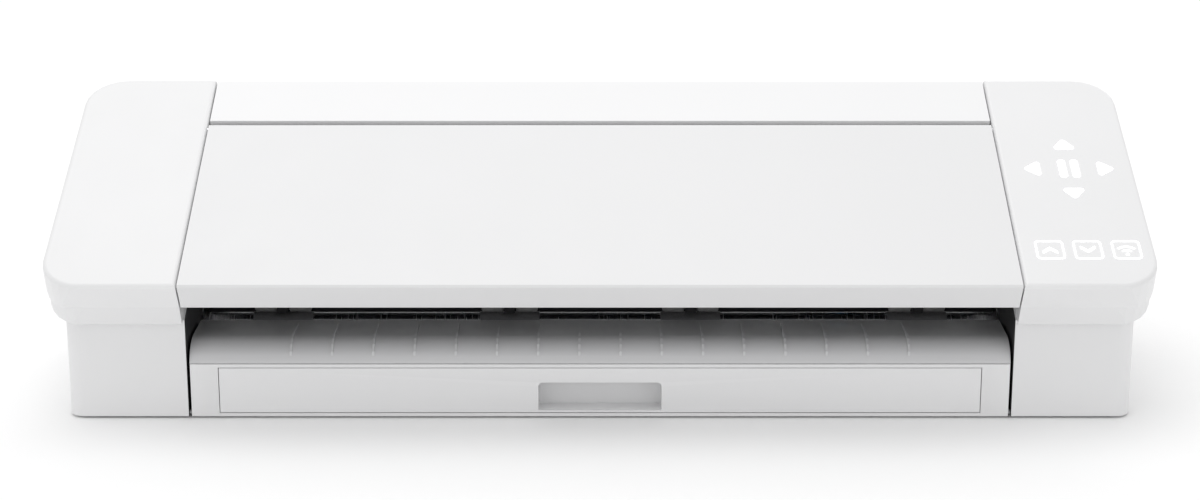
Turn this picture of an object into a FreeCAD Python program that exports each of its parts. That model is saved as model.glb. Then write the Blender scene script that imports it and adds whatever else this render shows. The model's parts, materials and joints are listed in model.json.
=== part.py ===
"""Desktop vinyl cutter: a wedge-shaped machine with a hinged lid, a tool carriage on a rail,
a feed roller with pinch rollers, a roll-feeder drawer, a cross cutter and a touch-key panel.

Millimetres, +Z up, -Y the front.  The origin is the centre of the footprint on the table.
The top slab slopes down to the front.  Its parts are drawn in a slab frame (X across,
Y up the slope from the front edge, Z out of the top face) and placed as one.
"""
import FreeCAD, Part
import math
import os
import Sketcher

os.makedirs("parts", exist_ok=True)
doc = FreeCAD.newDocument("vinyl_cutter")
sheet = doc.addObject("Spreadsheet::Sheet", "dims")

DIMENSIONS = [
    ("half_width", 285.0, "half of the overall width"),
    ("slab_length", 178.0, "length of the sloping top"),
    ("slab_tilt", 23.74, "slope of the top, degrees"),
    ("edge_y", -97.5, "front top edge"),
    ("edge_z", 77.5, "front top edge height"),
    ("slab_corner", 22.0, "plan corner radius of the top"),
    ("cover_depth", 17.1, "depth of the top covers"),
    ("collar_depth", 12.4, "depth of the band under the covers"),
    ("undercut", 3.4, "lean of the covers' front face"),
    ("collar_undercut", 1.1, "lean of the collar's front face"),
    ("wall", 2.5, "moulded wall"),
    ("edge_round", 2.2, "rounding of the covers' top edges"),
    ("lid_half", 213.8, "half width of the lid"),
    ("seam_half", 214.6, "inner edge of the side covers"),
    ("hinge_s", 134.5, "lid hinge, up the slope"),
    ("hinge_n", -3.0, "lid hinge, below the top face"),
    ("hinge_bar", 3.0, "radius of the lid's rear bar"),
    ("hinge_pin", 1.5, "radius of the hinge pins"),
    ("hinge_bore", 1.55, "radius of the hinge bores"),
    ("strip_front", 140.2, "front of the rear strip"),
    ("strip_drop", 0.6, "rear strip below the lid's face"),
    ("body_half", 276.3, "half width of the lower body"),
    ("body_front", -78.5, "front face of the lower body"),
    ("body_back", 74.0, "rear face of the lower body"),
    ("body_corner", 8.4, "upright corners of the lower body"),
    ("opening_half", 213.7, "inner walls of the side housings"),
    ("foot", 1.2, "ground clearance"),
    ("pan_top", 3.2, "top of the base pan"),
    ("bed_half", 212.4, "half width of the media bed"),
    ("apron_round", 15, "radius of the apron's front edge"),
    ("bed_z", 40.0, "top of the media bed"),
    ("feed_y", -22.0, "feed roller axis"),
    ("feed_z", 34.4, "feed roller axis height"),
    ("feed_radius", 6.0, "grit bands"),
    ("shaft_radius", 5.6, "feed roller between the bands"),
    ("journal", 4.0, "feed roller journals"),
    ("journal_bore", 4.05, "bushes for the journals"),
    ("pinch_z", 46.2, "pinch roller axis height"),
    ("pinch_radius", 5.5, "pinch rollers"),
    ("pinch_outer", 170.0, "outer pinch rollers"),
    ("pinch_inner", 48.5, "inner pinch rollers"),
    ("bar_y", -12.0, "pinch bar axis"),
    ("bar_z", 60.0, "pinch bar axis height"),
    ("bar_side", 8.0, "pinch bar section"),
    ("bar_journal", 3.0, "pinch bar journals"),
    ("bar_bore", 3.05, "bores for the pinch bar"),
    ("strip_y", 6.0, "cutting line"),
    ("carriage_x", 150.0, "parked carriage"),
    ("carriage_half", 38.0, "half width of the carriage"),
    ("tool_pitch", 18.0, "tools each side of the carriage centre"),
    ("tool_radius", 8.0, "tool barrel"),
    ("tool_bore", 8.05, "tool holder bore"),
    ("latch_pin", 1.0, "pins of the tool latches"),
    ("latch_bore", 1.05, "bores of the tool latches"),
    ("rail_front", 33.0, "front of the carriage rail"),
    ("rail_back", 45.0, "back of the carriage rail"),
    ("rail_low", 66.0, "underside of the rail"),
    ("rail_high", 92.0, "top of the rail"),
    ("guide_y", 35.0, "guide shaft"),
    ("guide_z", 60.0, "guide shaft height"),
    ("guide_radius", 3.0, "guide shaft radius"),
    ("guide_bore", 3.05, "carriage bore for the guide shaft"),
    ("frame_in", 217.5, "inner face of the metal side frames"),
    ("frame_sheet", 2.0, "sheet of the side frames"),
    ("belt_x", 244.0, "pulleys of the carriage belt"),
    ("belt_y", 52.0, "belt pulleys"),
    ("belt_z", 75.0, "underside of the belt pulleys"),
    ("pulley_radius", 5.0, "belt pulleys"),
    ("belt_gap", 0.3, "belt to pulley"),
    ("belt_sheet", 1.2, "thickness of the belts"),
    ("feed_motor_y", 30.0, "feed motor axis"),
    ("feed_pulley", 14.0, "pulley on the feed roller"),
    ("feed_pinion", 7.0, "pulley on the feed motor"),
    ("drawer_half", 197.4, "half width of the drawer front"),
    ("drawer_low", 3.3, "drawer front, bottom"),
    ("drawer_high", 27.4, "drawer front, top"),
    ("notch_half", 32.0, "finger notch"),
    ("notch_high", 19.6, "finger notch, top"),
    ("tray_half", 196.0, "outside of the drawer tray"),
    ("roller_radius", 7.0, "drawer rollers"),
    ("roller_z", 15.0, "drawer rollers' axis"),
    ("icon_depth", 0.2, "touch-key glyphs"),
    ("icon_x", 250.6, "centre of the touch keys"),
    ("icon_s", 96.7, "centre of the arrow keys"),
]


def fill_sheet():
    """Write the driving dimensions, one row each."""
    for row, (alias, value, note) in enumerate(DIMENSIONS, start=1):
        sheet.set("A%d" % row, alias)
        sheet.set("B%d" % row, "%.6g" % value)
        sheet.set("C%d" % row, note)
        sheet.setAlias("B%d" % row, alias)
    doc.recompute()


class Dim:
    """A number that keeps the spreadsheet expression it comes from."""

    def __init__(self, value, text):
        self.value = value
        self.text = text

    def joined(self, other, sign, value):
        return Dim(value, "(%s %s %s)" % (self.text, sign, as_dim(other).text))

    def __add__(self, other):
        return self.joined(other, "+", self.value + as_dim(other).value)

    def __radd__(self, other):
        return as_dim(other) + self

    def __sub__(self, other):
        return self.joined(other, "-", self.value - as_dim(other).value)

    def __rsub__(self, other):
        return as_dim(other) - self

    def __mul__(self, other):
        return self.joined(other, "*", self.value * as_dim(other).value)

    def __rmul__(self, other):
        return as_dim(other) * self

    def __truediv__(self, other):
        return self.joined(other, "/", self.value / as_dim(other).value)

    def __neg__(self):
        return 0 - self


def as_dim(number):
    """A Dim as it is, or a plain number as one."""
    if isinstance(number, Dim):
        return number
    text = "%.9g" % number
    return Dim(float(number), "(%s)" % text if number < 0 else text)


class Dims:
    """The sheet's aliases as attributes."""


def sine(angle):
    return Dim(math.sin(math.radians(angle.value)), "sin(%s * 1 deg)" % angle.text)


def cosine(angle):
    return Dim(math.cos(math.radians(angle.value)), "cos(%s * 1 deg)" % angle.text)


def bind(target, path, number):
    """Drive one property from the sheet."""
    number = as_dim(number)
    target.setExpression(path, number.text)


fill_sheet()
d = Dims()
for alias, value, note in DIMENSIONS:
    setattr(d, alias, Dim(value, "dims.%s" % alias))

X_AXIS = FreeCAD.Vector(1, 0, 0)
PLANE_ROLE = {"XY": "XY_Plane", "XZ": "XZ_Plane", "YZ": "YZ_Plane"}
made = []


# ---------------------------------------------------------------- sketches and features

def box2(x0, y0, x1, y1):
    """A rectangle as a loop of corners."""
    return [(x0, y0), (x1, y0), (x1, y1), (x0, y1)]


def mirrored(loop):
    """A loop mirrored left to right."""
    return [(-as_dim(x), y) for x, y in reversed(loop)]


def arc(cx, cy, radius, start, end, steps):
    """Corner points along an arc, in degrees."""
    points = []
    for i in range(steps + 1):
        angle = math.radians(start + (end - start) * i / steps)
        points.append((cx + radius * round(math.cos(angle), 6), cy + radius * round(math.sin(angle), 6)))
    return points


def hold_point(sketch, constraints, formulas, geometry, corner, point):
    """Fix a point by its distances from the sketch origin."""
    for kind, axis, number in (("DistanceX", -2, point[0]), ("DistanceY", -1, point[1])):
        number = as_dim(number)
        if abs(number.value) < 1e-9:
            constraints.append(Sketcher.Constraint("PointOnObject", geometry, corner, axis))
            continue
        if "dims." in number.text:
            formulas.append((len(constraints), number.text))
        constraints.append(Sketcher.Constraint(kind, -1, 1, geometry, corner, number.value))


def draw_polygon(sketch, constraints, formulas, loop):
    """Lines round a loop of corners."""
    first = sketch.GeometryCount
    count = len(loop)
    corners = [FreeCAD.Vector(as_dim(x).value, as_dim(y).value, 0) for x, y in loop]
    for i in range(count):
        sketch.addGeometry(Part.LineSegment(corners[i], corners[(i + 1) % count]), False)
    for i in range(count):
        constraints.append(Sketcher.Constraint("Coincident", first + i, 2, first + (i + 1) % count, 1))
        hold_point(sketch, constraints, formulas, first + i, 1, loop[i])


def draw_circle(sketch, constraints, formulas, centre_x, centre_y, radius):
    """A circle with its centre and radius fixed."""
    index = sketch.GeometryCount
    radius = as_dim(radius)
    centre = FreeCAD.Vector(as_dim(centre_x).value, as_dim(centre_y).value, 0)
    sketch.addGeometry(Part.Circle(centre, FreeCAD.Vector(0, 0, 1), radius.value), False)
    hold_point(sketch, constraints, formulas, index, 3, (centre_x, centre_y))
    if "dims." in radius.text:
        formulas.append((len(constraints), radius.text))
    constraints.append(Sketcher.Constraint("Radius", index, radius.value))


def add_sketch(body, plane, loops, offset):
    """A sketch on one of the body's origin planes, moved along its normal."""
    name = "%s_sketch%d" % (body.Label, len(body.Group))
    sketch = body.newObject("Sketcher::SketchObject", name)
    support = [f for f in body.Origin.OriginFeatures if f.Role == PLANE_ROLE[plane]][0]
    sketch.AttachmentSupport = [(support, "")]
    sketch.MapMode = "FlatFace"
    bind(sketch, "AttachmentOffset.Base.z", offset)
    constraints = []
    formulas = []
    for loop in loops:
        if isinstance(loop, tuple):
            draw_circle(sketch, constraints, formulas, *loop)
        else:
            draw_polygon(sketch, constraints, formulas, loop)
    sketch.addConstraint(constraints)
    for index, text in formulas:
        sketch.setExpression("Constraints[%d]" % index, text)
    sketch.Visibility = False
    return sketch


def extrude(body, kind, plane, start, length, loops):
    """Pad or pocket the loops from start to start + length along the plane's +axis."""
    start = as_dim(start)
    length = as_dim(length)
    far = start + length
    if plane == "XZ":
        offset = -far if kind == "Pad" else -start
    else:
        offset = start if kind == "Pad" else far
    sketch = add_sketch(body, plane, loops, offset)
    feature = body.newObject("PartDesign::%s" % kind, "%s_%s%d" % (body.Label, kind.lower(), len(body.Group)))
    feature.Profile = sketch
    bind(feature, "Length", length)
    body.Tip = feature
    return feature


def pad(body, plane, start, length, *loops):
    return extrude(body, "Pad", plane, start, length, loops)


def pocket(body, plane, start, length, *loops):
    """A pocket that is checked to take material away."""
    doc.recompute()
    before = body.Shape.Volume
    feature = extrude(body, "Pocket", plane, start, length, loops)
    doc.recompute()
    if not body.Shape.Volume < before:
        raise ValueError("%s: a pocket cuts nothing" % body.Label)
    return feature


def round_edges(body, radius, chosen):
    """Round the tip's edges that the test picks."""
    doc.recompute()
    base = body.Tip
    names = ["Edge%d" % (i + 1) for i, edge in enumerate(base.Shape.Edges) if chosen(edge)]
    if not names:
        raise ValueError("%s: no edge to round" % body.Label)
    feature = body.newObject("PartDesign::Fillet", "%s_round%d" % (body.Label, len(body.Group)))
    feature.Base = (base, names)
    bind(feature, "Radius", radius)
    body.Tip = feature
    return feature


def new_body(label, in_slab=False):
    """An empty body, in the machine's frame or in the slab's."""
    body = doc.addObject("PartDesign::Body", label)
    body.Label = label
    body.AllowCompound = True
    if in_slab:
        body.Placement = FreeCAD.Placement(FreeCAD.Vector(), FreeCAD.Rotation(X_AXIS, d.slab_tilt.value))
        bind(body, "Placement.Rotation.Angle", d.slab_tilt)
        bind(body, "Placement.Base.y", d.edge_y)
        bind(body, "Placement.Base.z", d.edge_z)
    made.append(body)
    return body


def upright(x, y, tolerance=0.6):
    """Picks the vertical edge at one plan position."""
    def test(edge):
        a = edge.Vertexes[0].Point
        b = edge.Vertexes[-1].Point
        near = all(abs(p.x - x) < tolerance and abs(p.y - y) < tolerance for p in (a, b))
        return near and abs(a.z - b.z) > 1.0
    return test


def along_x(y, z):
    """Picks the left-to-right edge at one place."""
    def test(edge):
        box = edge.BoundBox
        flat = box.YLength < 1e-4 and box.ZLength < 1e-4
        return flat and abs(box.YMin - y) < 0.01 and abs(box.ZMin - z) < 0.01
    return test


def along_y(x, z):
    """Picks the front-to-back edges at one height, left and right."""
    def test(edge):
        box = edge.BoundBox
        flat = box.XLength < 1e-4 and box.ZLength < 1e-4
        return flat and abs(abs(box.XMin) - x) < 0.01 and abs(box.ZMin - z) < 0.01
    return test


def is_upright(edge):
    """Picks straight edges along the body's Z."""
    box = edge.BoundBox
    return box.XLength < 1e-4 and box.YLength < 1e-4


def at_height(z):
    """Picks the edges that lie at one height."""
    def test(edge):
        box = edge.BoundBox
        return abs(box.ZMin - z) < 1e-4 and abs(box.ZMax - z) < 1e-4
    return test


def slab_underside(y):
    """Height of the slab's underside above a point of the table."""
    depth = d.cover_depth + d.collar_depth
    rise = sine(d.slab_tilt) / cosine(d.slab_tilt)
    return d.edge_z - depth * cosine(d.slab_tilt) + (y - d.edge_y - depth * sine(d.slab_tilt)) * rise


# ---------------------------------------------------------------- the top slab

def side_outline(inset, front):
    """Plan of the left side's slab with rounded outer corners, in the slab frame."""
    radius = d.slab_corner - inset
    left = d.slab_corner - d.half_width
    front_arc = arc(left, front + d.slab_corner, radius, 180, 270, 6)
    back_arc = arc(left, d.slab_length - d.slab_corner, radius, 90, 180, 6)
    inner = -d.seam_half - inset
    return front_arc + [(inner, front + inset), (inner, d.slab_length - inset)] + back_arc


def on_side(side, loop):
    """A left-hand loop, or its mirror for the right."""
    return loop if side == "left" else mirrored(loop)


def top_cover(side):
    body = new_body("%s_top_cover" % side, in_slab=True)
    pad(body, "XY", -d.cover_depth, d.cover_depth, on_side(side, side_outline(0, 0 * d.wall)))
    lean = [(0, 0), (d.undercut, -d.cover_depth), (d.undercut, -d.cover_depth - 1),
            (-1, -d.cover_depth - 1), (-1, 0)]
    pocket(body, "YZ", -d.half_width - 1, 2 * d.half_width + 2, lean)
    round_edges(body, d.edge_round, at_height(0))
    hollow = side_outline(d.wall, d.undercut)
    pocket(body, "XY", -d.cover_depth, d.cover_depth - d.wall, on_side(side, hollow))
    sign = -1 if side == "left" else 1
    start = -d.seam_half - d.wall if sign < 0 else d.seam_half
    pocket(body, "YZ", start, d.wall, (d.hinge_s, d.hinge_n, d.hinge_pin))


def collar(side):
    body = new_body("%s_collar" % side, in_slab=True)
    bottom = -d.cover_depth - d.collar_depth
    pad(body, "XY", bottom, d.collar_depth, on_side(side, side_outline(0, d.undercut)))
    low = d.undercut + d.collar_undercut
    lean = [(d.undercut, -d.cover_depth), (low, bottom), (low, bottom - 1),
            (0, bottom - 1), (0, -d.cover_depth)]
    pocket(body, "YZ", -d.half_width - 1, 2 * d.half_width + 2, lean)
    hollow = side_outline(d.wall, low)
    pocket(body, "XY", bottom + d.wall, d.collar_depth - d.wall, on_side(side, hollow))
    window = side_outline(14, low)
    pocket(body, "XY", bottom, d.wall, on_side(side, window))


def rear_top_cover():
    body = new_body("rear_top_cover", in_slab=True)
    top = -d.strip_drop
    back = d.slab_length
    low = -d.cover_depth - d.collar_depth
    profile = [(d.strip_front, top), (back - 1.5, top), (back, top - 1.5), (back, low),
               (back - d.wall, low), (back - d.wall, top - d.wall),
               (d.strip_front + d.wall, top - d.wall), (d.strip_front + d.wall, -10), (d.strip_front, -10)]
    pad(body, "YZ", -d.lid_half, 2 * d.lid_half, profile)
    end = [(d.strip_front, top - 1), (back - 1, top - 1), (back - 1, low), (back - 12, low), (d.strip_front, -10)]
    pad(body, "YZ", -d.lid_half, d.wall, end)
    pad(body, "YZ", d.lid_half - d.wall, d.wall, end)


def lid_shell():
    body = new_body("lid_shell", in_slab=True)
    low = -d.cover_depth
    under = -d.wall
    profile = [(1.2, 0), (0.2, -1), (d.undercut, low), (d.undercut + 2.6, low),
               (3.2, under), (d.hinge_s - 3, under), (d.hinge_s - 3, -4.5), (d.hinge_s, -6), (d.hinge_s, 0)]
    pad(body, "YZ", -d.lid_half, 2 * d.lid_half, profile)
    pad(body, "YZ", -d.lid_half, 2 * d.lid_half, (d.hinge_s, d.hinge_n, d.hinge_bar))
    skirt = [(2.8, -1), (4.6, -9), (d.hinge_s - 4, -9), (d.hinge_s - 2, -1)]
    pad(body, "YZ", -d.lid_half, 2.2, skirt)
    pad(body, "YZ", d.lid_half - 2.2, 2.2, skirt)
    bore = (d.hinge_s, d.hinge_n, d.hinge_bore)
    pocket(body, "YZ", -d.lid_half, 8, bore)
    pocket(body, "YZ", d.lid_half - 8, 8, bore)


def lid_stiffener():
    """The steel strip under the lid."""
    body = new_body("lid_stiffener", in_slab=True)
    pad(body, "YZ", -205, 410, box2(12, -d.wall - 1.5, 34, -d.wall))


def hinge_pins():
    body = new_body("lid_hinge_pins", in_slab=True)
    pin = (d.hinge_s, d.hinge_n, d.hinge_pin)
    pad(body, "YZ", -d.seam_half - d.wall, 10, pin)
    pad(body, "YZ", d.seam_half + d.wall - 10, 10, pin)


# ---------------------------------------------------------------- the touch keys

def chevron(x, s, height, half, direction):
    """A pointed-top bar, thin enough for a key glyph."""
    tip = height * direction
    thick = 2.0 * direction
    return [(x - half, s), (x, s + tip), (x + half, s), (x + half, s - thick),
            (x, s + tip - thick), (x - half, s - thick)]


def panel_icons():
    body = new_body("panel_icons", in_slab=True)
    x = d.icon_x
    s = d.icon_s
    deep = d.icon_depth
    loops = [
        [(x - 6.7, s + 17.0), (x + 6.7, s + 17.0), (x, s + 26.0)],
        [(x - 6.7, s - 17.0), (x, s - 26.0), (x + 6.7, s - 17.0)],
        [(x - 15.4, s - 7.0), (x - 15.4, s + 7.0), (x - 24.4, s)],
        [(x + 15.4, s - 7.0), (x + 24.4, s), (x + 15.4, s + 7.0)],
        box2(x - 5.4, s - 7.4, x - 1.4, s + 7.4),
        box2(x + 1.4, s - 7.4, x + 5.4, s + 7.4),
    ]
    keys = s - 67.9
    for shift in (-19.6, 0, 19.8):
        middle = x + shift
        loops.append(box2(middle - 7.3, keys - 7.3, middle + 7.3, keys + 7.3))
        loops.append(box2(middle - 6.5, keys - 6.5, middle + 6.5, keys + 6.5))
    loops.append(chevron(x - 19.6, keys - 1.0, 3.2, 3.8, 1))
    loops.append(chevron(x, keys + 1.0, 3.2, 3.8, -1))
    loops.append((x + 19.8, keys - 3.6, 0.9))
    for reach in (3.2, 6.2):
        outer = arc(x + 19.8, keys - 3.6, reach + 0.5, 45, 135, 4)
        inner = arc(x + 19.8, keys - 3.6, reach - 0.5, 135, 45, 4)
        loops.append(outer + inner)
    pad(body, "XY", 0, deep, *loops)
    arrows = s.value - 30
    round_edges(body, 1.4, lambda edge: is_upright(edge) and edge.Vertexes[0].Point.y > arrows)
    for reach, radius in ((7.3, 2.2), (6.5, 1.4)):
        round_edges(body, radius, square_corner(keys.value, reach))


def square_corner(s, reach):
    """Picks the corner edges of the three square key outlines."""
    def test(edge):
        return is_upright(edge) and abs(abs(edge.Vertexes[0].Point.y - s) - reach) < 0.01
    return test


def touch_pcb():
    body = new_body("touch_pcb", in_slab=True)
    pad(body, "XY", -d.wall - 1.8, 1.6, box2(222, 14, 278, 130))
    pad(body, "XY", -d.wall - 3.6, 1.8, box2(228, 50, 240, 62), box2(258, 120, 272, 127))


# ---------------------------------------------------------------- the lower body

def body_shell(side):
    body = new_body("%s_body_shell" % side)
    sign = -1 if side == "left" else 1
    outer = d.body_half
    inner = d.opening_half
    x0, x1 = (-outer, -inner) if sign < 0 else (inner, outer)
    pad(body, "XY", d.foot, 130, box2(x0, d.body_front, x1, d.body_back))
    doc.recompute()
    corner_x = sign * outer.value
    front = upright(corner_x, d.body_front.value)
    back = upright(corner_x, d.body_back.value)
    round_edges(body, d.body_corner, lambda edge: front(edge) or back(edge))
    above = [(-90, slab_underside(-90)), (90, slab_underside(90)), (90, 150), (-90, 150)]
    pocket(body, "YZ", -d.half_width, 2 * d.half_width, above)
    wall = d.wall
    hollow = side_hollow(wall)
    pocket(body, "XY", 0, 150, hollow if sign < 0 else mirrored(hollow))
    wall_x = -inner - wall if sign < 0 else inner
    front_y = d.body_front + wall
    back_y = d.body_back - wall
    pocket(body, "YZ", wall_x, wall, box2(front_y, d.foot, back_y, d.pan_top + 0.1))
    pocket(body, "YZ", wall_x, wall, (d.feed_y, d.feed_z, 7.5))
    pocket(body, "YZ", wall_x, wall, (d.bar_y, d.bar_z, 5))
    pocket(body, "YZ", wall_x, wall, box2(28, 55, 64, 97))
    vents = [box2(x, 70, x + 2, 96) for x in (228, 234, 240, 246, 252, 258)]
    vents = [loop if sign > 0 else mirrored(loop) for loop in vents]
    pocket(body, "XZ", back_y, wall, *vents)
    if sign > 0:
        pocket(body, "XZ", back_y, wall, (262, 20, 5), box2(229.4, 14.4, 242.6, 26.1))
        pocket(body, "YZ", outer - wall, wall, (-48, 32, 7.3))


def side_hollow(wall):
    """Inside plan of the left housing."""
    radius = d.body_corner - wall
    left = d.body_corner - d.body_half
    front = arc(left, d.body_front + d.body_corner, radius, 180, 270, 4)
    back = arc(left, d.body_back - d.body_corner, radius, 90, 180, 4)
    inner = -d.opening_half - wall
    return front + [(inner, d.body_front + wall), (inner, d.body_back - wall)] + back


def base_pan():
    """The steel pan with the drawer's two runners."""
    body = new_body("base_pan")
    half = d.body_half - d.wall - 0.2
    cut = 7
    plan = [(-half + cut, -75.5), (half - cut, -75.5), (half, -75.5 + cut), (half, 71.0 - cut),
            (half - cut, 71.0), (-half + cut, 71.0), (-half, 71.0 - cut), (-half, -75.5 + cut)]
    pad(body, "XY", d.foot, d.pan_top - d.foot, plan)
    front = box2(-d.opening_half - d.wall, -77, d.opening_half + d.wall, -74.2)
    pocket(body, "XY", d.foot, d.pan_top - d.foot, front)
    slots = [box2(x, -50, x + 3, -20) for x in range(226, 266, 8)]
    slots += [mirrored(loop) for loop in slots]
    pocket(body, "XY", d.foot, d.pan_top - d.foot, *slots)
    runners = [box2(x, -70, x + 4, 60) for x in (-200.4, 196.4)]
    pad(body, "XY", d.pan_top, 10, *runners)


def rubber_feet():
    body = new_body("rubber_feet")
    places = [(x, y) for x in (-245, 245) for y in (-60, 55)] + [(-90, 60), (90, 60)]
    pad(body, "XY", 0, d.foot, *[(x, y, 9) for x, y in places])


def front_frame():
    body = new_body("front_frame")
    half = d.bed_half - 0.2
    outer = box2(-half, d.foot, half, 29.6)
    window = box2(-d.drawer_half - 0.4, d.drawer_low - 0.4, d.drawer_half + 0.4, d.drawer_high + 0.4)
    pad(body, "XZ", d.body_front, 4, outer, window)


def front_apron():
    """The ribbed lip that media slides over in front of the feed roller."""
    body = new_body("front_apron")
    half = d.bed_half
    front, back = d.body_front, -37
    top = d.bed_z + 0.5
    low = top - 16.5
    foot = d.bed_z - 10.2
    pad(body, "YZ", -half, 2 * half, box2(front, low, back, top))
    round_edges(body, d.apron_round, along_x(front.value, top.value))
    y, z = front + d.apron_round, top - d.apron_round
    inside = arc(y, z, d.apron_round - 2.5, 175, 90, 5)
    inside += [(back - 2.5, top - 2.5), (back - 2.5, low - 1), (front + 2.5, low - 1)]
    pocket(body, "YZ", -half, 2 * half, inside)
    pocket(body, "YZ", -half, 2 * half, box2(front - 1, low - 1, back + 1, foot))
    z = d.bed_z
    rib = [(-76.7, z - 8.3), (-75.5, z - 4.4), (-72.7, z - 1.3), (-69, z + 0.7), (-63, z + 1.7),
           (-54, z + 1.9), (-46, z + 1.5), (-41, z + 0.2), (-41, z - 0.9), (-62, z - 0.9),
           (-72.2, z - 4.1), (-75.5, z - 8.1)]
    first = pad(body, "YZ", -160.65, 1.2, rib)
    pattern = body.newObject("PartDesign::LinearPattern", "front_apron_ribs")
    pattern.Originals = [first]
    axis = [f for f in body.Origin.OriginFeatures if f.Role == "X_Axis"][0]
    pattern.Direction = (axis, [""])
    pattern.Length = 15 * 21.34
    pattern.Occurrences = 16
    body.Tip = pattern


def platen_bed():
    body = new_body("platen_bed")
    z = d.bed_z
    profile = [(-12.5, z), (60, z), (60, z - d.wall), (-10, z - d.wall), (-10, z - 10), (-12.5, z - 10)]
    pad(body, "YZ", -d.bed_half, 2 * d.bed_half, profile)
    pocket(body, "XY", z - 1.2, 1.2, box2(-206, d.strip_y - 4, 206, d.strip_y + 4))
    body = new_body("cutting_strip")
    pad(body, "XY", z - 1.2, 1.4, box2(-205.8, d.strip_y - 3.8, 205.8, d.strip_y + 3.8))


def rear_parts():
    body = new_body("rear_guide")
    z = d.bed_z
    profile = [(60.2, z), (84, z), (90, z - 1.4), (94.5, z - 4.5), (97, z - 8.5), (97.5, z - 12),
               (97.5, z - 14), (95, z - 14), (94, z - 9.5), (91, z - 5.5), (86, z - 3), (60.2, z - 2.5)]
    pad(body, "YZ", -d.bed_half, 2 * d.bed_half, profile)
    body = new_body("rear_wall")
    lower = box2(-d.bed_half, d.pan_top, d.bed_half, z - 2.9)
    pad(body, "XZ", d.body_back - d.wall, d.wall, lower, box2(-d.bed_half, 56, d.bed_half, 119))
    body = new_body("cross_cutter_rail")
    rail = [(74, 58), (80, 58), (80, 64), (74, 64)]
    pad(body, "YZ", -208, 416, rail)
    pocket(body, "YZ", -208, 416, box2(77.5, 60, 80, 62))


def cross_cutter():
    body = new_body("cross_cutter_slider")
    hook = [(80.4, 43), (91, 43), (93, 47), (93, 66), (91, 68.5), (74.5, 68.5), (74.5, 64.4), (80.4, 64.4)]
    pad(body, "YZ", -202, 26, hook)
    pocket(body, "YZ", -202, 1.6, (86, 46.5, 6.6))
    body = new_body("cross_cutter_wheel")
    pad(body, "YZ", -201.6, 1.0, (86, 46.5, 5.9))


# ---------------------------------------------------------------- frames, rails and motors

def side_frame(side):
    body = new_body("%s_side_frame" % side)
    start = -d.frame_in - d.frame_sheet if side == "left" else d.frame_in
    plate = [(-40, d.pan_top), (66, d.pan_top), (66, 98), (10, 86), (-40, 64)]
    pad(body, "YZ", start, d.frame_sheet, plate)
    pocket(body, "YZ", start, d.frame_sheet, (d.feed_y, d.feed_z, d.journal_bore),
           (d.bar_y, d.bar_z, d.bar_bore), box2(45.2, 72, 62, 86))
    foot = box2(-40, d.pan_top, 66, d.pan_top + 2)
    shelf = start - 10 if side == "left" else start + d.frame_sheet
    pad(body, "YZ", shelf, 10, foot)


def carriage_rail():
    body = new_body("carriage_rail")
    y0, y1 = d.rail_front, d.rail_back
    z0, z1 = d.rail_low, d.rail_high
    profile = [(y0, z0), (y1, z0), (y1, z1), (y0, z1), (y0, z1 - 8), (y0 + 2, z1 - 10),
               (y0 + 2, z0 + 10), (y0, z0 + 8)]
    hollow = box2(y0 + 4, z0 + 3, y1 - 2.5, z1 - 3)
    pad(body, "YZ", -d.frame_in, 2 * d.frame_in, profile, hollow)
    body = new_body("guide_shaft")
    pad(body, "YZ", -d.frame_in, 2 * d.frame_in, (d.guide_y, d.guide_z, d.guide_radius))


def belt_shape(first, second, radius_a, radius_b, sheet_t, width):
    """A belt round two wheels, from the sheet's sizes, in its own plane."""
    def loop(extra):
        a = radius_a + extra
        b = radius_b + extra
        span = second.sub(first)
        heading = math.atan2(span.y, span.x)
        lean = math.acos((a - b) / span.Length)

        def rim(centre, radius, angle):
            return centre + FreeCAD.Vector(math.cos(angle), math.sin(angle), 0) * radius
        up, down = heading + lean, heading - lean
        corners = [rim(first, a, up), rim(second, b, up), rim(second, b, down), rim(first, a, down)]
        nose = rim(second, b, heading)
        tail = rim(first, a, heading + math.pi)
        edges = [Part.makeLine(corners[0], corners[1]),
                 Part.Arc(corners[1], nose, corners[2]).toShape(),
                 Part.makeLine(corners[2], corners[3]),
                 Part.Arc(corners[3], tail, corners[0]).toShape()]
        return Part.Face(Part.Wire(edges))
    ring = loop(sheet_t).cut(loop(0))
    return ring.extrude(FreeCAD.Vector(0, 0, width))


def belt(label, shape, placement):
    feature = doc.addObject("Part::Feature", label)
    feature.Label = label
    feature.Shape = shape
    feature.Placement = placement
    made.append(feature)


def belts():
    radius = sheet.pulley_radius + sheet.belt_gap
    first = FreeCAD.Vector(-sheet.belt_x, sheet.belt_y, 0)
    second = FreeCAD.Vector(sheet.belt_x, sheet.belt_y, 0)
    shape = belt_shape(first, second, radius, radius, sheet.belt_sheet, 5)
    height = FreeCAD.Vector(0, 0, sheet.belt_z + 1.5)
    belt("carriage_belt", shape, FreeCAD.Placement(height, FreeCAD.Rotation()))
    first = FreeCAD.Vector(sheet.feed_y, sheet.feed_z, 0)
    second = FreeCAD.Vector(sheet.feed_motor_y, sheet.feed_z, 0)
    gap = sheet.belt_gap
    shape = belt_shape(first, second, sheet.feed_pulley + gap, sheet.feed_pinion + gap, sheet.belt_sheet, 5)
    turn = FreeCAD.Rotation(FreeCAD.Vector(0, 1, 0), FreeCAD.Vector(0, 0, 1), FreeCAD.Vector(1, 0, 0), "ZXY")
    belt("feed_belt", shape, FreeCAD.Placement(FreeCAD.Vector(-232.5, 0, 0), turn))


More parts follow.
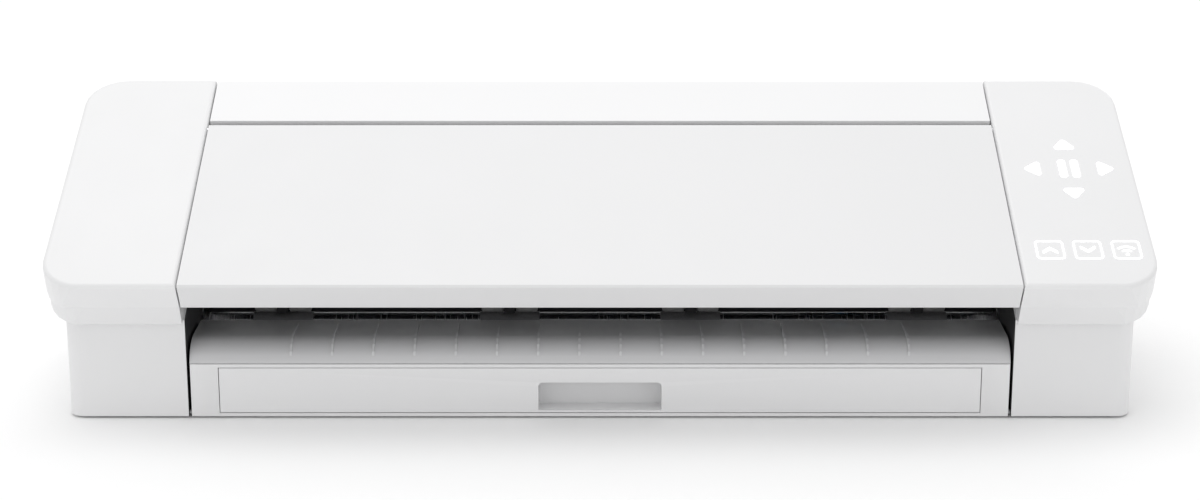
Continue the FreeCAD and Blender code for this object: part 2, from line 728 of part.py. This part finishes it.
def motors():
    body = new_body("carriage_motor")
    x, y = d.belt_x, d.belt_y
    pad(body, "XY", 38, 34, box2(x - 17.5, y - 17.5, x + 17.5, y + 17.5))
    pad(body, "XY", 72, 0.8, (x, y, 9))
    body = new_body("feed_motor")
    y, z = d.feed_motor_y, d.feed_z
    pad(body, "YZ", -268, 31, box2(y - 17.5, z - 17.5, y + 17.5, z + 17.5))
    pad(body, "YZ", -237, 0.8, (y, z, 9))
    body = new_body("idler_bracket")
    x, y = -d.belt_x, d.belt_y
    pad(body, "XY", 66, 3, box2(x - 12, y - 8, -d.frame_in - d.frame_sheet, y + 8))
    pad(body, "XY", 69, 15.5, (x, y, 2))


def pulleys():
    y = d.belt_y
    low = d.belt_z
    body = new_body("motor_pulley")
    pad(body, "XY", 73.2, 1.8, (d.belt_x, y, 2.5))
    pad(body, "XY", low, 8, (d.belt_x, y, d.pulley_radius))
    pad(body, "XY", low, 1.1, (d.belt_x, y, d.pulley_radius + 2.2))
    pad(body, "XY", low + 6.9, 1.1, (d.belt_x, y, d.pulley_radius + 2.2))
    body = new_body("idler_pulley")
    pad(body, "XY", low, 8, (-d.belt_x, y, d.pulley_radius))
    pad(body, "XY", low, 1.1, (-d.belt_x, y, d.pulley_radius + 2.2))
    pad(body, "XY", low + 6.9, 1.1, (-d.belt_x, y, d.pulley_radius + 2.2))
    pocket(body, "XY", low, 8, (-d.belt_x, y, 2.05))
    body = new_body("feed_motor_pulley")
    y, z = d.feed_motor_y, d.feed_z
    pad(body, "YZ", -235.8, 2.3, (y, z, 2.5))
    pad(body, "YZ", -233.5, 7, (y, z, d.feed_pinion))


def feed_roller():
    body = new_body("feed_roller")
    y, z = d.feed_y, d.feed_z
    pad(body, "YZ", -212.8, 425.6, (y, z, d.shaft_radius))
    pad(body, "YZ", -234, 21.2, (y, z, d.journal))
    pad(body, "YZ", 212.8, 12, (y, z, d.journal))
    body = new_body("grit_bands")
    for x in (-d.pinch_outer, -d.pinch_inner, d.pinch_inner, d.pinch_outer):
        pad(body, "YZ", x - 16, 32, (y, z, d.feed_radius), (y, z, d.shaft_radius))
    body = new_body("feed_pulley")
    pad(body, "YZ", -233.5, 7, (y, z, d.feed_pulley), (y, z, d.journal))


# ---------------------------------------------------------------- the pinch rollers

def pinch_parts():
    y, z = d.bar_y, d.bar_z
    half = d.bar_side / 2
    stations = (-d.pinch_outer, -d.pinch_inner, d.pinch_inner, d.pinch_outer)
    body = new_body("pinch_bar")
    pad(body, "YZ", -210, 420, box2(y - half, z - half, y + half, z + half))
    pad(body, "YZ", -221, 11, (y, z, d.bar_journal))
    pad(body, "YZ", 210, 11, (y, z, d.bar_journal))
    body = new_body("pinch_arms")
    front = y - half
    arm = [(front, z + 3.5), (-21, z + 3.5), (-29.5, 50), (-28.5, 41.8), (-24, 41.3), (-18, 42.6), (front, 52)]
    for x in stations:
        pad(body, "YZ", x - 2.8, 5.6, arm, (d.feed_y, d.pinch_z, 1.55))
    lever = [(front, z - 3.5), (front, z + 4), (-27, 84), (-33, 86), (-35, 82), (-31, 78), (front - 4, z - 3.5)]
    pad(body, "YZ", 199, 5, lever)
    for i, x in enumerate(stations, start=1):
        body = new_body("pinch_roller_%d" % i)
        pad(body, "YZ", x - 15.5, 31, (d.feed_y, d.pinch_z, 1.5))
        pad(body, "YZ", x - 15, 11.8, (d.feed_y, d.pinch_z, d.pinch_radius))
        pad(body, "YZ", x + 3.2, 11.8, (d.feed_y, d.pinch_z, d.pinch_radius))


# ---------------------------------------------------------------- the carriage and tools

def carriage():
    body = new_body("carriage_body")
    x0 = d.carriage_x - d.carriage_half
    wide = 2 * d.carriage_half
    gap = 0.4
    front = 20.6
    y0, y1 = d.rail_front - gap, d.rail_back + gap
    z0, z1 = d.rail_low - gap, d.rail_high + gap
    wrap = [(front, 54), (41, 54), (41, z0), (y0, z0), (y0, z1), (y1, z1), (y1, z1 - 6),
            (y1 + 2.4, z1 - 6), (y1 + 2.4, 97), (front, 97)]
    pad(body, "YZ", x0, wide, wrap, (d.guide_y, d.guide_z, d.guide_bore))
    body = new_body("carriage_cover")
    pad(body, "YZ", x0, wide, [(8, 97), (46, 97), (46, 101), (40, 104), (14, 104), (8, 101)])


def tools():
    for number, side in ((1, -1), (2, 1)):
        x = d.carriage_x + side * d.tool_pitch
        y = d.strip_y
        body = new_body("tool_slide_%d" % number)
        pad(body, "XZ", 16.2, 4, box2(x - 15, 58, x + 15, 94))
        pad(body, "XY", 66, 16, box2(x - 11, y - 10.5, x + 11, 16.2))
        pocket(body, "XY", 66, 16, (x, y, d.tool_bore))
        ear = [(-10, 76), (-4.5, 76), (-4.5, 81), (-8.5, 81), (-10, 79.5)]
        pad(body, "YZ", x - 9.4, 2, ear)
        pad(body, "YZ", x + 7.4, 2, ear)
        pad(body, "YZ", x - 9.4, 18.8, (-7, 78.5, d.latch_pin))
        body = new_body("tool_%d" % number)
        pad(body, "XY", 60, 32, (x, y, d.tool_radius))
        pad(body, "XY", 82, 3, (x, y, 10))
        pad(body, "XY", 50, 10, (x, y, 5))
        pad(body, "XY", 43.6, 6.4, (x, y, 1.6))
        body = new_body("tool_latch_%d" % number)
        lever = [(-9.6, 67), (-5.4, 67), (-4.8, 78.5), (-9.2, 78.5), (-11, 73)]
        pad(body, "YZ", x - 7, 14, lever)
        pad(body, "YZ", x - 7, 14, (-7, 78.5, 2.2))
        pocket(body, "YZ", x - 7, 14, (-7, 78.5, d.latch_bore))


# ---------------------------------------------------------------- the drawer

def drawer():
    low, high = d.drawer_low, d.drawer_high
    half = d.drawer_half
    body = new_body("drawer_panel")
    window = box2(-d.notch_half, low + 1.1, d.notch_half, d.notch_high)
    pad(body, "XZ", d.body_front + 0.2, 2.7, box2(-half, low, half, high), window)
    round_edges(body, 2.4, along_y(d.notch_half.value, d.notch_high.value))
    side = d.notch_half + 1.6
    pad(body, "XZ", -75.6, 10.4, box2(-side, low + 0.2, side, d.notch_high + 1.6))
    pocket(body, "XZ", -75.6, 8.9, box2(-d.notch_half, low + 1.1, d.notch_half, d.notch_high))
    body = new_body("drawer_tray")
    tray = d.tray_half
    plan = [(-tray, -75.6), (-side - 0.3, -75.6), (-side - 0.3, -64.9), (side + 0.3, -64.9),
            (side + 0.3, -75.6), (tray, -75.6), (tray, 45), (-tray, 45)]
    pad(body, "XY", 3.8, 18.2, plan)
    inner = [(-tray + 1.5, -74.1), (-side - 1.8, -74.1), (-side - 1.8, -63.4), (side + 1.8, -63.4),
             (side + 1.8, -74.1), (tray - 1.5, -74.1), (tray - 1.5, 43.5), (-tray + 1.5, 43.5)]
    pocket(body, "XY", 5.3, 16.7, inner)
    for y in (-42, 8):
        pocket(body, "YZ", -tray, 2 * tray, (y, d.roller_z, 3.05))
    for number, y in ((1, -42), (2, 8)):
        body = new_body("drawer_roller_%d" % number)
        pad(body, "YZ", -tray + 0.2, 2 * tray - 0.4, (y, d.roller_z, 3))
        pad(body, "YZ", -188, 376, (y, d.roller_z, d.roller_radius))


# ---------------------------------------------------------------- electrics

def electrics():
    body = new_body("main_pcb")
    pad(body, "XY", 8, 1.6, box2(-270, -60, -230, 68))
    pad(body, "XY", 9.6, 2, box2(-258, -42, -242, -26), box2(-262, 0, -250, 10), box2(-246, 0, -238, 8))
    pad(body, "XY", d.pan_top, 8 - d.pan_top, *[(x, y, 2.5) for x in (-266, -234) for y in (-56, 64)])
    body = new_body("rear_ports")
    pad(body, "XZ", 60, 14, (262, 20, 4.9))
    pocket(body, "XZ", 64, 10, (262, 20, 2.75))
    pad(body, "XZ", 58, 16, box2(229.6, 14.6, 242.4, 25.9))
    pocket(body, "XZ", 63, 11, box2(231.5, 16.4, 240.5, 24.1))
    body = new_body("power_button")
    pad(body, "YZ", 270, 2, (-48, 32, 3))
    pad(body, "YZ", 272, 1.5, (-48, 32, 8.5))
    pad(body, "YZ", 273.5, 3.8, (-48, 32, 7))
    body = new_body("power_switch")
    pad(body, "YZ", 258, 10, box2(-54, 26, -42, 38))
    pad(body, "YZ", 258, 3, box2(-54, d.pan_top, -42, 26))


# ---------------------------------------------------------------- build and export

def build():
    for side in ("left", "right"):
        top_cover(side)
        collar(side)
        body_shell(side)
        side_frame(side)
    rear_top_cover()
    lid_shell()
    lid_stiffener()
    hinge_pins()
    panel_icons()
    touch_pcb()
    base_pan()
    rubber_feet()
    front_frame()
    front_apron()
    platen_bed()
    rear_parts()
    cross_cutter()
    carriage_rail()
    belts()
    motors()
    pulleys()
    feed_roller()
    pinch_parts()
    carriage()
    tools()
    drawer()
    electrics()


def check_and_export():
    doc.recompute()
    for item in doc.Objects:
        if "Invalid" in item.State or "Error" in item.State:
            raise ValueError("%s: %s" % (item.Label, item.State))
    for item in made:
        shape = item.Shape
        if shape.isNull() or not shape.isValid():
            raise ValueError("%s has a bad shape" % item.Label)
        shape.exportStep("parts/%s.step" % item.Label)
        box = shape.BoundBox
        print("%-22s %d solids  X %7.1f %7.1f  Y %7.1f %7.1f  Z %7.1f %7.1f" % (
            item.Label, len(shape.Solids), box.XMin, box.XMax, box.YMin, box.YMax, box.ZMin, box.ZMax))


build()
check_and_export()
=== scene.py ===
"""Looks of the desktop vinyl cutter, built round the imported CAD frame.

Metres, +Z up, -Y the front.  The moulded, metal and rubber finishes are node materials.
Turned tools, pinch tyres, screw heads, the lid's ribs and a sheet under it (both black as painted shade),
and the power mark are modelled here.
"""
import json
import math

import bmesh
import bpy
from mathutils import Matrix, Vector


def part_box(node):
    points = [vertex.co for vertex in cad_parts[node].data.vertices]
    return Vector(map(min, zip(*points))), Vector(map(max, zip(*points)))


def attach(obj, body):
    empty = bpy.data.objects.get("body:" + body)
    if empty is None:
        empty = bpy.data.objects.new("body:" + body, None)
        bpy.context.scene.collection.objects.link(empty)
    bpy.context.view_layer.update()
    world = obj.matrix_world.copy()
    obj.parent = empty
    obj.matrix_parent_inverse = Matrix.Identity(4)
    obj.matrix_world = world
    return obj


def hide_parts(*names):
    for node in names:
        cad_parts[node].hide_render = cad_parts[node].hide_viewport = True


MM = 0.001
BLACK = (0.02, 0.02, 0.022)
# the housings' walls inside this half width are painted black as painted shade
INNER_WALL_X = 0.21385      # just past the housings' walls on the media path
LID_TILT = math.radians(23.74)
LID_FRONT_EDGE = Vector((0, -0.0975, 0.0775))
BUTTON_RING = (0.0024, 0.0030)      # inner and outer radius
RING_STEPS = 28
FLOOR_HALF = 6.0
CAMERA_PLACE = (0, -1.2881, 0.4380)
CAMERA_TILT = math.radians(74)
CAMERA_LENS = 73.98
LIGHT_TARGET = (0, 0, 0.08)
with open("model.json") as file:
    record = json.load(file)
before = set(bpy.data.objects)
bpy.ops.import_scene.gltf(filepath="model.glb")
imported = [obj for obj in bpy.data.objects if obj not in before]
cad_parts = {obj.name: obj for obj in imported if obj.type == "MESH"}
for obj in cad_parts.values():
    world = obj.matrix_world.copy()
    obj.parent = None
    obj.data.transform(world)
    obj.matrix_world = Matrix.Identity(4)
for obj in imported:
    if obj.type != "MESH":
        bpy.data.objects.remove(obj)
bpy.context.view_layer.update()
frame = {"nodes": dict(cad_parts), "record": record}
NODES = frame["nodes"]
SLOT_OF = {part["node"]: part["material_slot"] for part in frame["record"]["subparts"]}


# ---------------------------------------------------------------- materials

class Material:
    """A Principled material with short ways to add procedural detail."""

    def __init__(self, name, color, roughness, metallic=0.0, specular=0.5, coat=0.0):
        self.material = bpy.data.materials.new(name)
        self.material.use_nodes = True
        self.nodes = self.material.node_tree.nodes
        self.links = self.material.node_tree.links
        self.shader = self.nodes["Principled BSDF"]
        self.color = color
        self.roughness = roughness
        self.shader.inputs["Base Color"].default_value = (*color, 1)
        self.shader.inputs["Roughness"].default_value = roughness
        self.shader.inputs["Metallic"].default_value = metallic
        self.shader.inputs["Specular IOR Level"].default_value = specular
        self.shader.inputs["Coat Weight"].default_value = coat
        self.shader.inputs["Coat Roughness"].default_value = 0.18
        self.place = self.nodes.new("ShaderNodeTexCoord").outputs["Object"]
        self.height = None

    def noise(self, scale, detail=3.0, stretch=(1, 1, 1)):
        """Noise in object space; scale is in cycles per metre."""
        mapping = self.nodes.new("ShaderNodeMapping")
        mapping.inputs["Scale"].default_value = stretch
        self.links.new(self.place, mapping.inputs["Vector"])
        texture = self.nodes.new("ShaderNodeTexNoise")
        texture.inputs["Scale"].default_value = scale
        texture.inputs["Detail"].default_value = detail
        self.links.new(mapping.outputs["Vector"], texture.inputs["Vector"])
        return texture.outputs["Fac"]

    def spread(self, value, low, high):
        """Map a 0.3 to 0.7 value onto low to high."""
        node = self.nodes.new("ShaderNodeMapRange")
        node.inputs["From Min"].default_value = 0.3
        node.inputs["From Max"].default_value = 0.7
        node.inputs["To Min"].default_value = low
        node.inputs["To Max"].default_value = high
        self.links.new(value, node.inputs["Value"])
        return node.outputs["Result"]

    def vary_color(self, scale, amount, stretch=(1, 1, 1)):
        """Shift the colour lighter and darker by a small amount, and lighten convex edges."""
        mix = self.nodes.new("ShaderNodeMix")
        mix.data_type = "RGBA"
        mix.inputs["A"].default_value = (*[max(c * (1 - amount), 0) for c in self.color], 1)
        mix.inputs["B"].default_value = (*[min(c * (1 + amount), 1) for c in self.color], 1)
        self.links.new(self.spread(self.noise(scale, 4, stretch), 0, 1), mix.inputs["Factor"])
        edge = self.nodes.new("ShaderNodeMix")
        edge.data_type = "RGBA"
        edge.inputs["B"].default_value = (*[min(c * 1.06 + 0.02, 1) for c in self.color], 1)
        ramp = self.nodes.new("ShaderNodeMapRange")
        ramp.inputs["From Min"].default_value = 0.52
        ramp.inputs["From Max"].default_value = 0.62
        ramp.inputs["To Max"].default_value = 0.6
        geometry = self.nodes.new("ShaderNodeNewGeometry")
        self.links.new(geometry.outputs["Pointiness"], ramp.inputs["Value"])
        self.links.new(ramp.outputs["Result"], edge.inputs["Factor"])
        self.links.new(mix.outputs["Result"], edge.inputs["A"])
        self.links.new(edge.outputs["Result"], self.shader.inputs["Base Color"])
        return self

    def painted_shade_within(self, half_width, color):
        """Another colour where the surface is this near the machine's middle plane, left or right: painted
        shade.
        """
        split = self.nodes.new("ShaderNodeSeparateXYZ")
        self.links.new(self.place, split.inputs["Vector"])
        distance = self.nodes.new("ShaderNodeMath")
        distance.operation = "ABSOLUTE"
        self.links.new(split.outputs["X"], distance.inputs[0])
        inside = self.nodes.new("ShaderNodeMath")
        inside.operation = "LESS_THAN"
        inside.inputs[1].default_value = half_width
        self.links.new(distance.outputs["Value"], inside.inputs[0])
        mix = self.nodes.new("ShaderNodeMix")
        mix.data_type = "RGBA"
        mix.inputs["B"].default_value = (*color, 1)
        self.links.new(self.shader.inputs["Base Color"].links[0].from_socket, mix.inputs["A"])
        self.links.new(inside.outputs["Value"], mix.inputs["Factor"])
        self.links.new(mix.outputs["Result"], self.shader.inputs["Base Color"])
        return self

    def vary_roughness(self, scale, amount, stretch=(1, 1, 1)):
        value = self.spread(self.noise(scale, 4, stretch), self.roughness - amount, self.roughness + amount)
        self.links.new(value, self.shader.inputs["Roughness"])
        return self

    def bump(self, value, strength, distance):
        """Stack one bump on the last."""
        node = self.nodes.new("ShaderNodeBump")
        node.inputs["Strength"].default_value = strength
        node.inputs["Distance"].default_value = distance
        self.links.new(value, node.inputs["Height"])
        if self.height:
            self.links.new(self.height, node.inputs["Normal"])
        self.height = node.outputs["Normal"]
        self.links.new(self.height, self.shader.inputs["Normal"])
        return self

    def grain(self, scale, strength, distance=0.00005, stretch=(1, 1, 1)):
        return self.bump(self.noise(scale, 2, stretch), strength, distance)


def moulded(name, color, roughness, grain=0.12, coat=0.0, specular=0.5):
    """Moulded plastic: spark-eroded grain, slow shade changes and faint handling marks."""
    plastic = Material(name, color, roughness, specular=specular, coat=coat)
    plastic.vary_color(9, 0.012).vary_roughness(35, 0.05)
    return plastic.grain(2200, grain).grain(60, 0.04, 0.0002)


def machined(name, color, roughness, stretch):
    """Ground or drawn metal with fine lines along one direction."""
    metal = Material(name, color, roughness, metallic=1.0)
    metal.vary_color(400, 0.06, stretch).vary_roughness(900, 0.09, stretch)
    return metal.grain(1500, 0.25, 0.00003, stretch)


def rubber(name, color):
    soft = Material(name, color, 0.78, specular=0.25)
    soft.vary_color(120, 0.12).vary_roughness(200, 0.08)
    return soft.grain(3000, 0.35)


def grit():
    """Crushed-grit bands of the feed roller."""
    band = Material("grit", (0.34, 0.34, 0.35), 0.55, metallic=0.8)
    band.vary_color(2500, 0.3).vary_roughness(1800, 0.15)
    return band.grain(2600, 0.9, 0.0002)


def circuit_board():
    board = Material("pcb_green", (0.02, 0.13, 0.05), 0.35, coat=0.3)
    board.vary_color(260, 0.35, (1, 6, 1)).vary_roughness(300, 0.1)
    return board.grain(900, 0.2)


def lit_glyph():
    """Backlit white glyphs."""
    glyph = Material("icon_white", (0.97, 0.98, 1.0), 0.3)
    glyph.vary_roughness(300, 0.05)
    glyph.shader.inputs["Emission Color"].default_value = (1, 1, 1, 1)
    glyph.shader.inputs["Emission Strength"].default_value = 0.9
    return glyph.grain(1200, 0.05)


ALONG_X = (0.02, 1, 1)
FINISHES = {
    "shell_white": moulded("shell_white", (0.8, 0.8, 0.805), 0.4, 0.06, coat=0.1),
    "lid_white": moulded("lid_white", (0.73, 0.73, 0.735), 0.38, 0.06, coat=0.12),
    "body_grey": moulded("body_grey", (0.77, 0.77, 0.775), 0.45, 0.1),
    "drawer_grey": moulded("drawer_grey", (0.78, 0.78, 0.786), 0.45, 0.1),
    # the apron's grey is darker than the body's as painted shade under the lid
    "apron_grey": moulded("apron_grey", (0.62, 0.62, 0.63), 0.4, 0.1, coat=0.1),
    "black_plastic": moulded("black_plastic", BLACK, 0.5, 0.2),
    "tool_blue": moulded("tool_blue", (0.05, 0.24, 0.5), 0.3, 0.06, coat=0.4),
    "tool_grey": moulded("tool_grey", (0.4, 0.4, 0.42), 0.35, 0.08),
    "strip_dark": moulded("strip_dark", (0.1, 0.1, 0.1), 0.6, 0.2),
    "steel": machined("steel", (0.56, 0.57, 0.58), 0.38, ALONG_X),
    "steel_shaft": machined("steel_shaft", (0.66, 0.66, 0.68), 0.22, (1, 0.05, 0.05)),
    "rail_alu": machined("rail_alu", (0.72, 0.73, 0.75), 0.34, ALONG_X),
    "brass": machined("brass", (0.72, 0.55, 0.26), 0.3, (1, 1, 0.05)),
    "motor_black": moulded("motor_black", (0.03, 0.03, 0.032), 0.4, 0.3),
    "rubber_black": rubber("rubber_black", (0.02, 0.02, 0.02)),
    "rubber_grey": rubber("rubber_grey", (0.42, 0.42, 0.42)),
    "grit": grit(),
    "pcb_green": circuit_board(),
    "icon_white": lit_glyph(),
}


# housing grey with its walls on the media path painted black: painted shade
HOUSING_PAINTED_SHADE = moulded("body_grey_painted_shade", (0.77, 0.77, 0.775), 0.45, 0.1)
HOUSING_PAINTED_SHADE.painted_shade_within(INNER_WALL_X, BLACK)


def finish_nodes():
    """Give each CAD node its slot's finish; the housings' walls on the media path are also painted black as
    painted shade.
    """
    for name, node in NODES.items():
        shade_painted = name in ("left_body_shell", "right_body_shell")
        finish = HOUSING_PAINTED_SHADE if shade_painted else FINISHES[SLOT_OF[name]]
        node.data.materials.clear()
        node.data.materials.append(finish.material)


# ---------------------------------------------------------------- pieces

def add_piece(name, mesh, slot, body, smooth=True):
    """A mesh piece with a finish, riding on a body."""
    if smooth:
        for face in mesh.polygons:
            face.use_smooth = True
    piece = bpy.data.objects.new(name, mesh)
    bpy.context.scene.collection.objects.link(piece)
    mesh.materials.append(FINISHES[slot].material)
    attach(piece, body)
    return piece


def lathe(name, profile, centre, axis, slot, body, segments=48):
    """Turn (radius, height) points in mm round an axis through centre."""
    mesh = bpy.data.meshes.new(name)
    shape = bmesh.new()
    turn = Vector((0, 0, 1)).rotation_difference(Vector(axis)).to_matrix().to_4x4()
    place = Matrix.Translation(centre) @ turn
    rings = []
    for radius, height in profile:
        ring = []
        for i in range(segments):
            angle = 2 * math.pi * i / segments
            point = Vector((radius * math.cos(angle), radius * math.sin(angle), height)) * MM
            ring.append(shape.verts.new(place @ point))
        rings.append(ring)
    for lower, upper in zip(rings, rings[1:]):
        for i in range(segments):
            j = (i + 1) % segments
            shape.faces.new((lower[i], lower[j], upper[j], upper[i]))
    shape.faces.new(list(reversed(rings[0])))
    shape.faces.new(rings[-1])
    shape.to_mesh(mesh)
    shape.free()
    piece = add_piece(name, mesh, slot, body)
    soften(piece, 0.25)
    return piece


def soften(piece, width_mm):
    """Small rounded edges and even shading."""
    bevel = piece.modifiers.new("edges", "BEVEL")
    bevel.width = width_mm * MM
    bevel.segments = 2
    bevel.limit_method = "ANGLE"
    bevel.angle_limit = math.radians(35)
    bevel.harden_normals = True


def block(shape, low, high):
    """Add a closed box to a bmesh, corners in metres."""
    corners = [shape.verts.new((x, y, z)) for z in (low[2], high[2])
               for y in (low[1], high[1]) for x in (low[0], high[0])]
    for face in ((0, 2, 3, 1), (4, 5, 7, 6), (0, 1, 5, 4), (2, 6, 7, 3), (0, 4, 6, 2), (1, 3, 7, 5)):
        shape.faces.new([corners[i] for i in face])


def blocks(name, boxes, slot, body, place=Matrix.Identity(4), width_mm=0.3):
    """One piece made of bevelled boxes."""
    mesh = bpy.data.meshes.new(name)
    shape = bmesh.new()
    for low, high in boxes:
        block(shape, low, high)
    bmesh.ops.transform(shape, matrix=place, verts=shape.verts)
    shape.to_mesh(mesh)
    shape.free()
    piece = add_piece(name, mesh, slot, body, smooth=False)
    soften(piece, width_mm)
    return piece


def middle(node):
    """Centre of a CAD node's box."""
    low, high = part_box(node)
    return (Vector(low) + Vector(high)) / 2


def tool(number, slot):
    """A turned tool with a knurled cap in place of the plain CAD barrel."""
    node = "tool_%d" % number
    low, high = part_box(node)
    centre = middle(node)
    centre.z = low[2]
    top = (high[2] - low[2]) / MM
    profile = [(0.5, 0), (1.5, 1.2), (1.6, 6.4), (4.2, 7.4), (5, 9), (5, 16), (7.9, 17), (7.9, 38.5),
               (10, 38.6), (10, 41.2), (8, 41.6), (7.2, 42.4), (7.2, top - 1.2), (6.2, top - 0.2), (3, top)]
    piece = lathe("tool_%d_turned" % number, profile, centre, (0, 0, 1), slot, "tool_holder_%d" % number)
    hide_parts(node)
    ridges = []
    for i in range(20):
        angle = 2 * math.pi * i / 20
        x = centre.x + 7.3 * MM * math.cos(angle)
        y = centre.y + 7.3 * MM * math.sin(angle)
        ridges.append(((x - 0.0004, y - 0.0004, high[2] - 0.0052),
                       (x + 0.0004, y + 0.0004, high[2] - 0.0014)))
    blocks("tool_%d_knurl" % number, ridges, slot, "tool_holder_%d" % number, width_mm=0.15)


def pinch_roller(number):
    """Two crowned tyres on one axle."""
    node = "pinch_roller_%d" % number
    low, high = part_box(node)
    centre = middle(node)
    half = (high[0] - low[0]) / 2 / MM
    tyre = [(1.5, 3.2), (4.8, 3.2), (5.45, 3.9), (5.5, 6.5), (5.35, 7.0), (5.35, 7.6),
            (5.5, 8.1), (5.5, 11.0), (5.35, 11.5), (5.35, 12.1), (5.5, 12.6), (5.45, 14.3),
            (4.8, 15.0), (1.5, 15.0), (1.5, half)]
    profile = [(radius, -height) for radius, height in reversed(tyre)] + tyre
    piece = lathe("pinch_tyres_%d" % number, profile, centre, (1, 0, 0), "rubber_grey", "pinch_%d" % number)
    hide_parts(node)


def screws(name, places, axis, body):
    """Low pan heads with a round recess, standing on their faces."""
    for i, place in enumerate(places, start=1):
        profile = [(2.6, 0), (2.6, 0.3), (2.3, 0.7), (1.6, 0.9), (0.9, 0.9), (0.8, 0.4), (0.05, 0.3)]
        lathe("%s_%d" % (name, i), profile, Vector(place), axis, "steel_shaft", body, segments=24)


def slab_place():
    """From the slab's frame, X across and Y up the slope, to the machine's."""
    return Matrix.Translation(LID_FRONT_EDGE) @ Matrix.Rotation(LID_TILT, 4, "X")


def lid_ribs():
    """Moulded ribs under the lid, in the slab's own frame, black as painted shade."""
    boxes = []
    for i in range(-4, 5):
        x = i * 0.046
        boxes.append(((x - 0.0006, 0.036, -0.0050), (x + 0.0006, 0.128, -0.0024)))
    for s in (0.058, 0.082, 0.106):
        boxes.append(((-0.208, s - 0.0006, -0.0046), (0.208, s + 0.0006, -0.0024)))
    blocks("lid_ribs", boxes, "black_plastic", "lid", slab_place())


def lid_shade_sheet():
    """A thin black sheet under the lid, in front of its hinge and behind its lip: painted shade."""
    boxes = [((-0.2085, 0.036, -0.0032), (0.2085, 0.128, -0.0026)),
             ((-0.2085, 0.0070, -0.0032), (0.2085, 0.0115, -0.0026))]
    blocks("lid_shade_sheet", boxes, "black_plastic", "lid", slab_place(), width_mm=0.1)


def power_mark():
    """The ring and bar of a generic power sign on the button."""
    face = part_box("power_button")[1][0] - 0.00002
    centre = middle("power_button")
    mesh = bpy.data.meshes.new("power_mark")
    shape = bmesh.new()
    inner, outer = BUTTON_RING
    for i in range(RING_STEPS):
        start = math.radians(120 + 300 * i / RING_STEPS)
        end = math.radians(120 + 300 * (i + 1) / RING_STEPS)
        quad = []
        for radius, angle in ((inner, start), (inner, end), (outer, end), (outer, start)):
            y = centre.y + radius * math.cos(angle)
            z = centre.z + radius * math.sin(angle)
            quad.append(shape.verts.new((face, y, z)))
        shape.faces.new(quad)
    block(shape, (face - 0.0001, centre.y - 0.0003, centre.z + 0.0012),
          (face, centre.y + 0.0003, centre.z + 0.0036))
    bmesh.ops.remove_doubles(shape, verts=shape.verts, dist=1e-6)
    shape.to_mesh(mesh)
    shape.free()
    add_piece("power_mark", mesh, "black_plastic", "button", smooth=False)


def add_details():
    tool(1, "tool_blue")
    tool(2, "tool_grey")
    for number in range(1, 5):
        pinch_roller(number)
    lid_ribs()
    lid_shade_sheet()
    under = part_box("base_pan")[0][2]
    places = [(x, y, under) for x in (-0.262, 0.262) for y in (-0.03, 0.03)]
    screws("base_screw", places, (0, 0, -1), "chassis")


# ---------------------------------------------------------------- stage, light and camera

def stage():
    mesh = bpy.data.meshes.new("floor")
    half = FLOOR_HALF
    corners = [(-half, -half, 0), (half, -half, 0), (half, half, 0), (-half, half, 0)]
    mesh.from_pydata(corners, [], [(0, 1, 2, 3)])
    floor = bpy.data.objects.new("floor", mesh)
    bpy.context.scene.collection.objects.link(floor)
    paper = Material("floor_paper", (0.96, 0.96, 0.96), 0.9, specular=0.1)
    mesh.materials.append(paper.vary_color(3, 0.004).material)


def area_light(name, place, target, size, power):
    data = bpy.data.lights.new(name, "AREA")
    data.shape = "RECTANGLE"
    data.size = size[0]
    data.size_y = size[1]
    data.energy = power
    light = bpy.data.objects.new(name, data)
    light.location = place
    light.rotation_euler = (Vector(target) - Vector(place)).to_track_quat("-Z", "Y").to_euler()
    bpy.context.scene.collection.objects.link(light)


def studio():
    world = bpy.data.worlds.new("studio")
    world.use_nodes = True
    world.node_tree.nodes["Background"].inputs["Color"].default_value = (1, 1, 1, 1)
    world.node_tree.nodes["Background"].inputs["Strength"].default_value = 0.8
    bpy.context.scene.world = world
    bpy.context.scene.view_settings.view_transform = "Standard"
    area_light("key_light", (-0.4, 0.1, 2.2), LIGHT_TARGET, (2.4, 1.6), 17)
    area_light("rim_light", (0.6, 1.6, 1.3), LIGHT_TARGET, (1.6, 0.8), 4)


def camera():
    data = bpy.data.cameras.new("photo_camera")
    data.sensor_width = 36
    data.lens = CAMERA_LENS
    eye = bpy.data.objects.new("photo_camera", data)
    eye.location = CAMERA_PLACE
    eye.rotation_euler = (CAMERA_TILT, 0, 0)
    bpy.context.scene.collection.objects.link(eye)
    bpy.context.scene.camera = eye


finish_nodes()
add_details()
power_mark()
stage()
studio()
camera()
